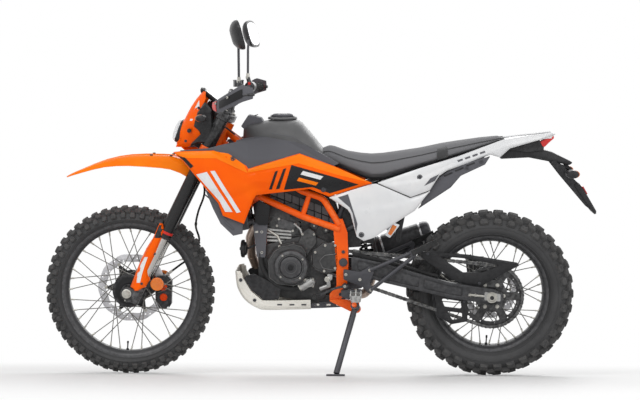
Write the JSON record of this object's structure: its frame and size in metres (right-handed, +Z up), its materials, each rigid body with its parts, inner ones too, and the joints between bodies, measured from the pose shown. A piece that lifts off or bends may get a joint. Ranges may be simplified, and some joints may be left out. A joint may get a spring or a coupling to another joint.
{
  "type": "dual sport motorcycle",
  "caption": "Dual sport motorcycle with spoked wheels and knobbly tyres, parked leaning on its side stand; steering, wheels, stand and fuel cap move.",
  "frame": {"origin": "on the floor, at the middle of the parked motorcycle's bounding box", "axes": "-X to the front of the motorcycle, +Y to the rider's right, +Z up"},
  "size_m": [2.2417, 0.9214, 1.4957],
  "materials": {
    "frame_orange": "powder coat",
    "panel_orange": "gloss",
    "panel_white": "gloss",
    "dark_plastic": "fine grain",
    "black_steel": "satin black",
    "dark_aluminium": "anodised",
    "bare_aluminium": "brushed",
    "engine_paint": "satin",
    "exhaust_steel": "heat tinted",
    "disc_steel": "ground",
    "tyre": "knobbly",
    "seat_cover": "grained vinyl",
    "black_rubber": "matt",
    "clear_lens": "clear",
    "red_lens": "gloss"
  },
  "bodies": {
    "chassis": {"main_frame": "frame_orange", "subframe": "black_steel", "swingarm": "dark_aluminium", "rear_axle": "bare_aluminium", "chain": "black_steel", "chain_guards": "dark_plastic", "shock": "black_steel", "engine": "engine_paint", "engine_covers": "engine_paint", "radiator": "dark_aluminium", "exhaust_header": "exhaust_steel", "muffler": "black_steel", "skid_plate": "bare_aluminium", "airbox": "dark_plastic", "fuel_tank": "dark_plastic", "tank_shrouds": "panel_orange", "side_panels": "panel_white", "tail_cowl": "panel_white", "seat": "seat_cover", "tail_light": "red_lens", "plate_holder": "dark_plastic", "foot_pegs": "black_steel", "foot_levers": "black_steel", "rear_caliper": "dark_aluminium"},
    "steering_head": {"triple_clamps": "dark_aluminium", "fork_legs": "dark_aluminium", "front_axle": "bare_aluminium", "fork_guards": "panel_orange", "front_caliper": "dark_aluminium", "brake_hose": "black_rubber", "handlebar": "black_steel", "bar_controls": "black_rubber", "hand_guards": "dark_plastic", "mirrors": "dark_plastic", "dash": "dark_plastic", "headlight": "clear_lens", "headlight_mask": "panel_orange", "front_blinkers": "dark_plastic", "front_fender": "panel_orange"},
    "front_wheel": {"front_tyre": "tyre", "front_rim": "black_steel", "front_disc": "disc_steel"},
    "rear_wheel": {"rear_tyre": "tyre", "rear_rim": "black_steel", "rear_disc": "disc_steel", "rear_sprocket": "black_steel"},
    "side_stand": {"side_stand": "black_steel"},
    "fuel_cap": {"fuel_cap": "dark_plastic"}
  },
  "joints": [
    {"name": "steering", "type": "hinge", "parent": "chassis", "child": "steering_head", "pos_m": [-0.41919, 0.06448, 0.92436], "axis": [0.4431, -0.1557, 0.8829], "range_deg": [-40, 40]},
    {"name": "front_wheel_spin", "type": "hinge", "parent": "steering_head", "child": "front_wheel", "pos_m": [-0.77341, 0.16699, 0.34301], "axis": [0, 0.9848, 0.1736], "continuous": true},
    {"name": "rear_wheel_spin", "type": "hinge", "parent": "chassis", "child": "rear_wheel", "pos_m": [0.69957, 0.16811, 0.33663], "axis": [0, 0.9848, 0.1736], "continuous": true},
    {"name": "side_stand_fold", "type": "hinge", "parent": "chassis", "child": "side_stand", "pos_m": [0.15191, 0.03072, 0.27501], "axis": [-0.2311, -0.8924, 0.3876], "range_deg": [0, 114.3]},
    {"name": "fuel_cap_lid", "type": "hinge", "parent": "chassis", "child": "fuel_cap", "pos_m": [-0.19109, 0.04227, 1.0503], "axis": [0, -0.9848, -0.1736], "range_deg": [0, 95]}
  ]
}
